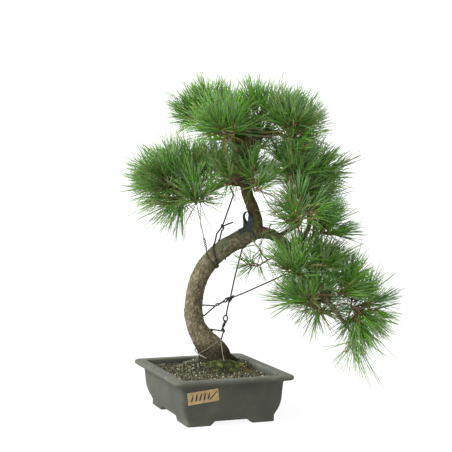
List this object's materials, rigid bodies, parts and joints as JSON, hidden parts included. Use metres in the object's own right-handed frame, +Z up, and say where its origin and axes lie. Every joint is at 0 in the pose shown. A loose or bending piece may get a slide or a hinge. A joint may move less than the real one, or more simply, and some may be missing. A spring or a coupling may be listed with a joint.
{
  "type": "japanese black pine bonsai",
  "caption": "Potted pine bonsai: curved leaning trunk, low bough to one side, tufts of long needles, guy wires and a rectangular footed pot filled with grit.",
  "frame": {"origin": "on the level of the pot's feet, under the middle of the whole plant's box", "axes": "+Z up, -Y towards the pot's short front side with its label, +X to the right seen from the front, the side that the low bough reaches to"},
  "size_m": [0.5496, 0.3988, 0.6797],
  "materials": {
    "pot": "matt unglazed grey-green stoneware",
    "soil": "coarse grit",
    "moss_green": "green moss",
    "moss_orange": "dry orange-brown moss",
    "label": "brown paper tape",
    "bark": "flaking grey-brown bark",
    "needles": "green pine needles",
    "wire": "dark annealed wire",
    "strap": "dull rubber sheet"
  },
  "bodies": {
    "root": {"apex_back": "needles", "apex_crest": "needles", "apex_front": "needles", "apex_left": "needles", "apex_middle": "needles", "apex_right": "needles", "apex_side": "needles", "bough_apex_left": "bark", "bough_apex_right": "bark", "bough_back": "bark", "bough_back_right": "bark", "bough_cascade": "bark", "bough_cascade_tip": "bark", "bough_front": "bark", "bough_left": "bark", "bough_outer": "bark", "bough_right": "bark", "bough_rising": "bark", "bough_upper_right": "bark", "cascade_back": "needles", "cascade_inner": "needles", "cascade_middle": "needles", "cascade_outer": "needles", "cascade_root": "needles", "cascade_tip": "needles", "cascade_upper": "needles", "centre_back": "needles", "centre_front": "needles", "centre_left": "needles", "guy_wire_cascade": "wire", "guy_wire_down": "wire", "guy_wire_left": "wire", "guy_wire_thin": "wire", "inner_sprig": "needles", "label": "label", "leader": "bark", "left_back": "needles", "left_front": "needles", "left_inner": "needles", "left_low": "needles", "left_tip": "needles", "left_under": "needles", "left_upper": "needles", "moss_green": "moss_green", "moss_orange": "moss_orange", "pot": "pot", "right_back": "needles", "right_front": "needles", "right_inner": "needles", "right_low": "needles", "right_outer": "needles", "right_root": "needles", "right_upper": "needles", "soil": "soil", "strap": "strap", "trunk": "bark"}
  },
  "joints": []
}
